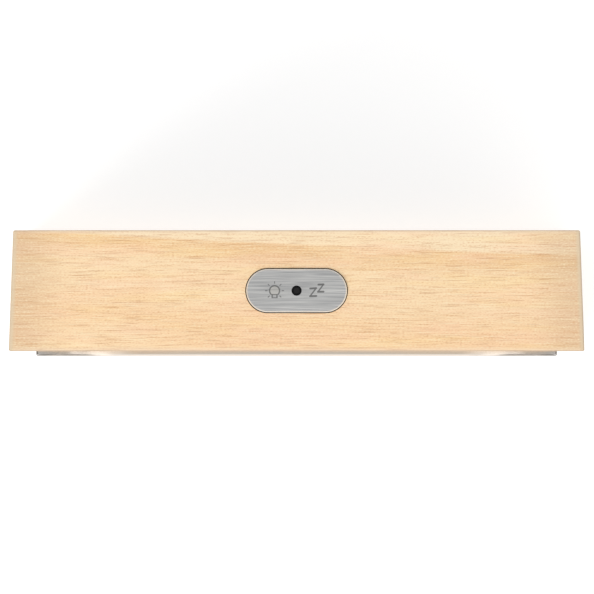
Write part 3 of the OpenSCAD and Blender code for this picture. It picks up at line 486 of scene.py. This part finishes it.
# The window over the dial is a disc of clear float glass. A ring of black rubber
# behind it presses it against the bezel and keeps dust out.
glass = material("window_glass")
shadow_ray, diffuse_ray = glass.node("LightPath", out=("Is Shadow Ray", "Is Diffuse Ray"))
pane = glass.node(
    "BsdfPrincipled",
    {},
    {"Base Color": (0.98, 0.99, 0.99, 1), "Roughness": 0, "IOR": 1.3, "Transmission Weight": 1},
)
clear = glass.node("BsdfTransparent")
unshaded = glass.node("MixShader", {}, {0: shadow_ray.most(diffuse_ray), 1: pane, 2: clear})
glass.end("OutputMaterial", {"Surface": unshaded})
dress(glass, "glass")


def part_of(colour, share, grey=0):
    """A share of a colour, with some grey added."""
    return (*(share * c + grey for c in colour[:3]), 1)


def rubber(name, colour, roughness):
    """Matt rubber with a fine bloom of dust."""
    made = material(name)
    place = made.place()
    bloom = made.cloud(place, (3, 3, 3), 3)
    pits = made.cloud(place, (0.25, 0.25, 0.25))
    dusty = made.tint(bloom.rise(0.5, 0.8), colour, part_of(colour, 0.75, 0.075))
    made.surface(dusty, roughness + pits * 0.15, 0, pits, 0.012)
    return made


dress(rubber("gasket_rubber", paint(38, 38, 39), 0.6), "glass_gasket")


# The dial's frame, its frosted ring and the bracket behind it are moulded in pale
# plastic. The ring is frosted to spread the light of the lamps round the dial.
def moulded(name, colour, roughness, grain=0.3, depth=0.008, flow=0.06):
    """Moulded plastic: spark-eroded grain, and faint flow marks in the colour."""
    made = material(name)
    place = made.place()
    marks = made.cloud(place, (22, 22, 22), 3)
    texture = made.cloud(place, (grain, grain, grain))
    marked = made.tint(marks, part_of(colour, 1 - 2 * flow), colour)
    made.surface(marked, roughness + texture * 0.12, 0, texture, depth)
    return made


white_plastic = moulded("white_plastic", paint(228, 228, 224), 0.42)
dress(white_plastic, "dial_frame", "switch_bracket")
dress(moulded("frosted_plastic", paint(246, 246, 243), 0.3, 0.15, 0.004, 0.02), "light_ring")


# The dial is a printed aluminium disc, off-white and matt, with black numerals
# and a minute track that are printed on it.
numeral_size = 8.4
numeral_radius = 35.6
track_outer = 43.9
minute_inner = 42.5
minute_half = 0.14
hour_inner = 41.4
hour_half = 0.35
print_thickness = 0.03
dial_paint = material("dial_face")
place = dial_paint.place()
orange_peel = dial_paint.cloud(place, (0.5, 0.5, 0.5))
mottle = dial_paint.cloud(place, (26, 26, 26))
dial_paint.surface(
    dial_paint.tint(mottle, paint(240, 236, 226), paint(247, 244, 236)),
    0.5 + orange_peel * 0.12,
    0,
    orange_peel,
    0.004,
)
dress(dial_paint, "dial")
dial_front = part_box("dial")[0].y


def taper(mesh, below, above, low, high):
    """A block between two outlines that have the same number of corners."""
    under = [mesh.verts.new((u, v, low)) for u, v in below]
    over = [mesh.verts.new((u, v, high)) for u, v in above]
    mesh.faces.new(over)
    mesh.faces.new(reversed(under))
    for i in range(len(below)):
        j = (i + 1) % len(below)
        mesh.faces.new((under[i], under[j], over[j], over[i]))


def printed(mesh, outline):
    """A flat printed shape."""
    taper(mesh, outline, outline, 0, print_thickness)


def letters(mesh, text, size, at):
    """Plain printed lettering, centred on a point."""
    curve = bpy.data.curves.new("letters", "FONT")
    curve.body = text
    curve.size = size
    curve.extrude = print_thickness / 2
    curve.align_x = "CENTER"
    curve.align_y = "CENTER"
    made = bpy.data.objects.new("letters", curve)
    shape = bpy.data.meshes.new_from_object(made)
    shape.transform(Matrix.Translation((*at, print_thickness / 2)))
    mesh.from_mesh(shape)
    bpy.data.objects.remove(made)


def polar(radius, degrees):
    """A point at a clockwise angle from the top."""
    return radius * math.sin(math.radians(degrees)), radius * math.cos(math.radians(degrees))


def rotated(outline, degrees):
    """An outline turned clockwise round the middle."""
    c = math.cos(math.radians(degrees))
    s = math.sin(math.radians(degrees))
    return [(u * c + v * s, v * c - u * s) for u, v in outline]


ink = moulded("dial_ink", paint(34, 34, 36), 0.5, 0.1, 0.002)
numerals = bmesh.new()
for hour in range(1, 13):
    letters(numerals, str(hour), numeral_size, polar(numeral_radius, 30 * hour))
piece("dial_numerals", numerals, facing_front(dial_front), ink, "clock")

track = bmesh.new()
for minute in range(60):
    half, inner = (hour_half, hour_inner) if minute % 5 == 0 else (minute_half, minute_inner)
    bar = [(-half, inner), (half, inner), (half, track_outer), (-half, track_outer)]
    printed(track, rotated(bar, 6 * minute))
piece("dial_minute_track", track, facing_front(dial_front), ink, "clock")


# The hands are stamped from thin aluminium and lacquered: black for the hours
# and minutes, red for the seconds and orange for the alarm.
def lacquer(name, colour):
    """Satin lacquer with fine scuffs, over brushed sheet."""
    made = material(name)
    place = made.place()
    brushed = made.cloud(place, (0.3, 0.3, 0.3), 3)
    scuffs = made.cloud(place, (2.5, 2.5, 2.5), 4)
    scuffed = made.tint(scuffs.rise(0.5, 0.75), colour, part_of(colour, 0.9, 0.05))
    made.surface(scuffed, 0.32 + brushed * 0.12, 0, brushed, 0.003)
    return made


dress(lacquer("hand_black", paint(30, 30, 31)), "hour_hand", "minute_hand")
dress(lacquer("hand_red", paint(203, 60, 34)), "second_hand")
dress(lacquer("hand_orange", paint(224, 132, 34)), "alarm_hand")


# The movement's case is two plain mouldings in light grey, held by four screws. A
# brass nut on its threaded neck clamps it to the dial.
movement_plastic = moulded("movement_plastic", paint(206, 206, 203), 0.45)
dress(movement_plastic, "movement_front", "movement_back")


def turned_metal(name, colour, roughness, lines=0.12):
    """Bare metal with fine tool marks and small stains."""
    made = material(name)
    place = made.place()
    marks = made.cloud(place, (lines, 6 * lines, lines))
    stains = made.cloud(place, (2, 2, 2), 3)
    stained = made.tint(stains.rise(0.35, 0.75), colour, part_of(colour, 0.7))
    made.surface(stained, roughness + marks * 0.15, 1, marks, 0.004)
    return made


dress(turned_metal("brass", paint(214, 176, 100), 0.22), "centre_nut")
screw_steel = turned_metal("screw_steel", paint(196, 198, 202), 0.25)
dress(screw_steel, "movement_screws", "bracket_screws")


# The wheels of the going train are moulded in white acetal, and those of the
# motion work and the alarm in a cream one. A brass leaf beside the alarm wheel
# closes the sounder's circuit.
acetal = moulded("wheel_acetal", paint(240, 239, 232), 0.34, 0.2, 0.003, 0.03)
dress(acetal, "fifth_wheel", "second_wheel", "third_wheel", "centre_wheel", "rotor_pinion")
cream = moulded("motion_acetal", paint(232, 220, 190), 0.36, 0.2, 0.003, 0.03)
dress(cream, "cannon_pinion", "minute_wheel", "hour_wheel", "alarm_wheel", "alarm_pinion")
dress(turned_metal("contact_brass", paint(208, 172, 104), 0.3), "alarm_contact")


# The step motor: a sintered magnet, a stamped soft-iron circuit, and a coil of
# enamelled copper wire on a brown bobbin.
wire_gap = 0.16
winding_slant = 0.01
dress(moulded("magnet_ferrite", paint(66, 66, 70), 0.5, 0.08, 0.01), "rotor_magnet")
dress(turned_metal("soft_iron", paint(150, 152, 156), 0.38, 0.3), "stator")
dress(moulded("bobbin_plastic", paint(132, 76, 46), 0.42), "coil_bobbin")
winding = material("copper_wire")
place = winding.place()
x, _, z = winding.axes(place)
along_coil = (x + z * winding_slant) * (2 * math.pi / wire_gap)
turns = winding.node("Math", {"operation": "SINE"}, {0: along_coil})
tarnish = winding.cloud(place, (1.5, 2, 2), 3)
copper = winding.tint(tarnish, paint(150, 78, 42), paint(206, 118, 66))
winding.surface(copper, 0.28 + tarnish * 0.15, 1, turns, 0.03)
dress(winding, "coil_winding")


# Two green circuit boards carry the clock's chip and the parts under the button.
# Tinned pads and traces show through the lacquer.
trace_pitch = 1.27
pad_pitch = 2.54
board = material("board_green")
place = board.place()
x, y, z = board.axes(place)
from_trace = ((x / trace_pitch).fraction() - 0.5) * trace_pitch
from_pad = (((y + z) / pad_pitch).fraction() - 0.5) * pad_pitch
patches = board.cloud(place, (3, 3, 3), 0)
traces = abs(from_trace).rise(0.24, 0.2) * patches.rise(0.48, 0.5)
pads = distance(from_trace, from_pad).rise(0.5, 0.46) * patches.rise(0.5, 0.48)
mask = board.tint(traces, paint(20, 84, 50), paint(38, 116, 72))
tinned = board.tint(pads, mask, paint(198, 198, 190))
board.surface(tinned, 0.3 + pads * 0.1, pads, pads + traces * 0.5, 0.03)
dress(board, "circuit_board", "switch_board")


# On the boards sit a drop of black resin over the chip, the crystal's can, two
# switches, the light sensor and the dial's lamps. Pairs of insulated wires lead to
# the sounder and to the board under the button.
dress(moulded("chip_epoxy", paint(26, 26, 28), 0.22, 1.2, 0.03), "control_chip")
dress(turned_metal("crystal_can", paint(208, 210, 214), 0.2), "crystal")
dress(moulded("switch_body", paint(58, 58, 60), 0.45), "snooze_switches")
dress(moulded("sensor_body", paint(40, 36, 40), 0.2, 0.5, 0.002), "light_sensor")
dress(moulded("lamp_epoxy", paint(244, 226, 150), 0.25, 0.4, 0.01), "dial_lamps")
dress(moulded("red_wire", paint(190, 40, 34), 0.4, 0.6, 0.004), "buzzer_lead")
dress(moulded("white_wire", paint(226, 226, 222), 0.4, 0.6, 0.004), "switch_lead")


# The cell lies under the movement, between two contacts of nickelled spring strip.
# Its jacket is printed dark grey with a pale band at the plus end, and its ends are
# bare steel.
jacket_radius = 6.4
jacket_end = 24
pale_from = 14
nickel = turned_metal("contact_nickel", paint(204, 202, 196), 0.24, 0.2)
dress(nickel, "contact_positive", "contact_negative")
cell_low, cell_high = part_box("battery")
cell_middle = (cell_low + cell_high) / (2 * MM)
jacket = material("cell_jacket")
place = jacket.place()
x, y, z = jacket.axes(place)
from_axis = distance(y - cell_middle.y, z - cell_middle.z)
ends = abs(x).rise(jacket_end - 0.1, jacket_end)
bare = from_axis.rise(jacket_radius + 0.05, jacket_radius) * ends
pale_band = x.rise(pale_from - 0.1, pale_from)
scratches = jacket.cloud(place, (0.6, 3, 3), 3)
sleeve = jacket.tint(pale_band, paint(52, 62, 68), paint(196, 199, 200))
sleeve = jacket.tint(scratches.rise(0.6, 0.75) * 0.3, sleeve, paint(150, 154, 160))
whole_cell = jacket.tint(bare, sleeve, paint(200, 201, 203))
jacket.surface(whole_cell, 0.24 + scratches * 0.12, bare, scratches, 0.006)
dress(jacket, "battery")


# The button is a plate of brushed steel on a moulded carrier. A bulb sign and two
# letters z are marked on it by laser.
cap_low, cap_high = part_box("button_cap")
button_y = (cap_low.y + cap_high.y) / (2 * MM)
cap = material("button_steel")
place = cap.place()
x, y, _ = cap.axes(place)
brushing = cap.cloud(place, (8, 0.12, 0.4), 1, 0.7)
sweeps = cap.cloud(place, (24, 0.5, 0.5), 1)
streaks = (brushing * 0.88 + sweeps * 0.12).rise(0.22, 0.78)
shine = cap.tint(streaks, paint(174, 175, 176), paint(237, 236, 233))

# Its edge is polished, and its colour there has a painted highlight, brightest towards the front
core_half = 6
edge_band_inner = 4.2
edge_band_outer = 4.36
from_core = distance((abs(x) - core_half).most(0), y - button_y)
highlight_towards_front = (y - button_y).rise(4.2, 0)
polish_and_highlight = from_core.rise(edge_band_inner, edge_band_outer) * highlight_towards_front * 0.72
# Painted highlight on the edge; the same band also makes the edge less rough
shine = cap.tint(polish_and_highlight, shine, paint(255, 248, 236))


def near(gap, reach):
    """1 within reach of a line and 0 just outside it."""
    return gap.rise(reach + 0.03, reach - 0.03)


def from_line(x, y, a, b):
    """Distance from a straight stroke between two points, drawn from the cap's middle."""
    run = b[0] - a[0], b[1] - a[1]
    length = run[0] ** 2 + run[1] ** 2
    u = x - a[0]
    v = y - (a[1] + button_y)
    share = ((u * run[0] + v * run[1]) / length).most(0).least(1)
    return distance(u - share * run[0], v - share * run[1])


# The bulb is a globe and a screw end in outline, with seven rays round the globe
bulb_left = 4.59
bulb_ahead = 0.02
globe_radius = 1.04
ray_radius = 1.72
screw_end_low = 1.12
screw_end_half = 0.34
fine_line = 0.09
u = x + bulb_left
v = y - (button_y - bulb_ahead)
from_bulb = distance(u, v)
shine = cap.tint(from_bulb.rise(1.1, 0.9) * 0.25, shine, paint(226, 220, 204))
eighths = cap.node("Math", {"operation": "ARCTAN2"}, {0: u, 1: v}) * (4 / math.pi)
from_ray = ((eighths + 0.5).fraction() - 0.5) * (math.pi / 4)
rays = near(abs(from_bulb * from_ray), fine_line) * near(abs(from_bulb - ray_radius), 0.25)
rays = rays * v.rise(-1.5, -1.4)
globe = near(abs(from_bulb - globe_radius), 0.14) * v.rise(-0.86, -0.8)
from_screw_end = (abs(u) * 0.68).most(abs(v + screw_end_low))
screw_end = near(abs(from_screw_end - screw_end_half), fine_line)
bulb = rays.most(globe).most(screw_end)

big_z = [(2.85, 0.44), (4.08, 0.52), (2.8, -1.16), (4.1, -1.12)]
small_z = [(4.55, 1.26), (5.6, 1.3), (4.46, -0.24), (5.6, -0.22)]
sleep, *others = [
    near(from_line(x, y, a, b), half)
    for corners in (big_z, small_z)
    for a, b, half in zip(corners, corners[1:], (0.2, 0.14, 0.2))
]
for other in others:
    sleep = sleep.most(other)
marks = (bulb * 0.84).most(sleep * 0.86)
cap.surface(
    cap.tint(marks * 0.92, shine, paint(74, 74, 73)),
    0.3 + brushing * 0.14 * (1 - polish_and_highlight) + marks * 0.25 - polish_and_highlight * 0.12,
    1 - marks * 0.5,
    brushing * (0.5 - polish_and_highlight * 0.4) - marks,
    0.004,
)
dress(cap, "button_cap")


# A dark, glossy plastic window in the middle of the button lets light through to
# the sensor on the board.
window = material("sensor_window")
place = window.place()
x, y, _ = window.axes(place)
# The middle of the lens is a little lighter: a painted glint
centre_glint = distance(x, y - button_y).rise(0.75, 0.45)
dust = window.cloud(place, (0.4, 0.4, 0.4), 3)
dusty = window.tint(dust.rise(0.5, 0.8), paint(8, 8, 9), paint(30, 30, 31))
window.surface(
    window.tint(centre_glint * 0.8, dusty, paint(38, 37, 37)),
    0.12 + dust * 0.1,
    0,
    dust,
    0.002,
    {"Specular IOR Level": 0.15},
)
dress(window, "sensor_lens")


# The carrier under the button's plate, the sounder's can and the two setting knobs
# are moulded in black plastic, and the plungers that press the switches in white.
black_plastic = moulded("black_plastic", paint(44, 44, 46), 0.46)
dress(black_plastic, "button_carrier", "buzzer", "set_knob", "alarm_knob")
dress(moulded("plunger_plastic", paint(232, 232, 226), 0.4), "switch_plungers")


# The rear cover and the battery door are moulded in dark grey plastic with a fine
# spark-eroded grain, and the alarm's slider in pale grey.
cover_plastic = moulded("cover_plastic", paint(70, 72, 75), 0.5, 0.35, 0.02, 0.05)
dress(cover_plastic, "rear_cover", "battery_door")
dress(moulded("slider_plastic", paint(212, 212, 210), 0.42), "alarm_slider")


# Four steel pan-head screws hold the cover to the wood at its corners. Each has a
# rolled thread and a pressed cross recess, and stands at its own angle.
screw_place = 46.5
screw_tip = 16.3
screw_head = 23.5
screw_top = 24.3
head_radius = 2.58
shank_radius = 1.05
thread_root = 0.98
thread_crest = 1.19
thread_pitch = 0.6


def cut(mesh, tool):
    """Takes one closed shape out of another."""
    objects = []
    for made in (mesh, tool):
        data = bpy.data.meshes.new("cutting")
        made.to_mesh(data)
        objects.append(bpy.data.objects.new("cutting", data))
        bpy.context.scene.collection.objects.link(objects[-1])
    taken = objects[0].modifiers.new("taken", "BOOLEAN")
    taken.operation = "DIFFERENCE"
    taken.object = objects[1]
    shape = objects[0].evaluated_get(bpy.context.evaluated_depsgraph_get())
    left = bmesh.new()
    left.from_mesh(shape.to_mesh())
    for used in objects:
        bpy.data.objects.remove(used)
    return left


def facing_back(depth_y):
    """From a drawing in millimetres, x to the right as seen from behind and y up, to
    the clock's back."""
    return Matrix.Translation((0, depth_y, 0)) @ Matrix.Rotation(math.pi, 4, "Z") @ facing_front(0)


def cross(wing, web):
    """The outline of a cross with four wings."""
    quarter = [(-web * 0.8, wing), (web * 0.8, wing), (web, web)]
    return sum((rotated(quarter, 90 * n) for n in range(4)), [])


screw_profile = [(0.02, screw_tip), (0.55, screw_tip + 0.5), (0.95, screw_tip + 1.2)]
for n in range(8):
    ridge = screw_tip + 1.5 + thread_pitch * n
    screw_profile += [(thread_root, ridge), (thread_crest, ridge + 0.2), (thread_root, ridge + 0.4)]
screw_profile += [
    (shank_radius, screw_head - 0.3),
    (shank_radius, screw_head),
    (head_radius - 0.08, screw_head),
    (head_radius, screw_head + 0.06),
    (head_radius, screw_head + 0.26),
    (head_radius - 0.08, screw_head + 0.42),
    (head_radius - 0.3, screw_head + 0.58),
    (head_radius - 0.7, screw_head + 0.7),
    (1.2, screw_top - 0.03),
    (0.6, screw_top),
    (0.02, screw_top),
]
blank = bmesh.new()
turn(blank, screw_profile, 48)
recess = bmesh.new()
taper(recess, cross(0.45, 0.16), cross(1.5, 0.34), screw_top - 1.1, screw_top + 0.1)
bmesh.ops.recalc_face_normals(blank, faces=blank.faces)
bmesh.ops.recalc_face_normals(recess, faces=recess.faces)
screw = cut(blank, recess)
blank.free()
recess.free()
screw_shape = bpy.data.meshes.new("screw")
screw.to_mesh(screw_shape)
screw.free()
screws = bmesh.new()
for side, level, tight in ((-1, -1, 20), (1, -1, 67), (1, 1, 41), (-1, 1, 8)):
    corner = Matrix.Translation((side * screw_place, level * screw_place, 0))
    one = screw_shape.copy()
    one.transform(corner @ Matrix.Rotation(math.radians(tight), 4, "Z"))
    screws.from_mesh(one)
fastening = piece(
    "cover_screws", screws, facing_back(wood_low.y), screw_steel, "clock", 35
)
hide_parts("rear_cover_screws")


# White signs are pad-printed beside the controls: a clock over the knob that sets
# the hands, a bell over the alarm's, the way each turns, and ON and OFF.
well_floor = wood_low.y / MM + 19.9
clock_at = (-9.57, 7.2)
clock_radius = 2.2
bell_at = (12.69, 7)
knobs_at = ((-9.57, -4.46), (12.69, -4.62))
arrow_radius = 7.7
arrow_start = -32
arrow_end = 24
on_at = (2.1, 13.5)
off_at = (18.6, 13.5)
word_size = 2.7
stroke = 0.16


def arc(radius, half, start, end):
    """A curved bar round the middle, between two clockwise angles from the top."""
    steps = 24
    angles = [start + (end - start) * i / steps for i in range(steps + 1)]
    outer_side = [polar(radius + half, a) for a in angles]
    return outer_side + [polar(radius - half, a) for a in reversed(angles)]


def moved(outline, by):
    """An outline shifted to the right and up."""
    return [(u + by[0], v + by[1]) for u, v in outline]


signs = bmesh.new()
inner = clock_radius - stroke
outer = clock_radius + stroke
turn(signs, [(inner, 0), (outer, 0), (outer, print_thickness), (inner, print_thickness)], 48)
bmesh.ops.translate(signs, verts=signs.verts, vec=(*clock_at, 0))
three_o_clock = [
    (-stroke, -stroke),
    (1.15, -stroke),
    (1.15, stroke),
    (stroke, stroke),
    (stroke, 1.5),
    (-stroke, 1.5),
]
printed(signs, moved(three_o_clock, clock_at))
arrow_tip = rotated(moved([(0, 0.62), (1.15, 0), (0, -0.62)], (0, arrow_radius)), arrow_end)
for knob_at in knobs_at:
    printed(signs, moved(arc(arrow_radius, stroke, arrow_start, arrow_end), knob_at))
    printed(signs, moved(arrow_tip, knob_at))
bell = [(-2, -1.25), (2, -1.25), (1.5, -0.75), (1.42, 0.35)]
bell += moved([polar(1.35, a) for a in range(85, -86, -10)], (0, 0.55))
bell += [(-1.42, 0.35), (-1.5, -0.75)]
printed(signs, moved(bell, bell_at))
clapper = moved([polar(0.5, a) for a in range(-90, -271, -20)], (0, -1.5))
printed(signs, moved(clapper, bell_at))
letters(signs, "OFF", word_size, off_at)
letters(signs, "ON", word_size, on_at)
white_ink = moulded("white_ink", paint(232, 232, 230), 0.5, 0.1, 0.002)
piece("control_signs", signs, facing_back(well_floor * MM), white_ink, "clock")


# Four round feet of black rubber are glued under the block, one near each corner,
# so that it stands clear of the table and doesn't slide.
dress(rubber("foot_rubber", paint(40, 40, 41), 0.62), "rubber_feet")
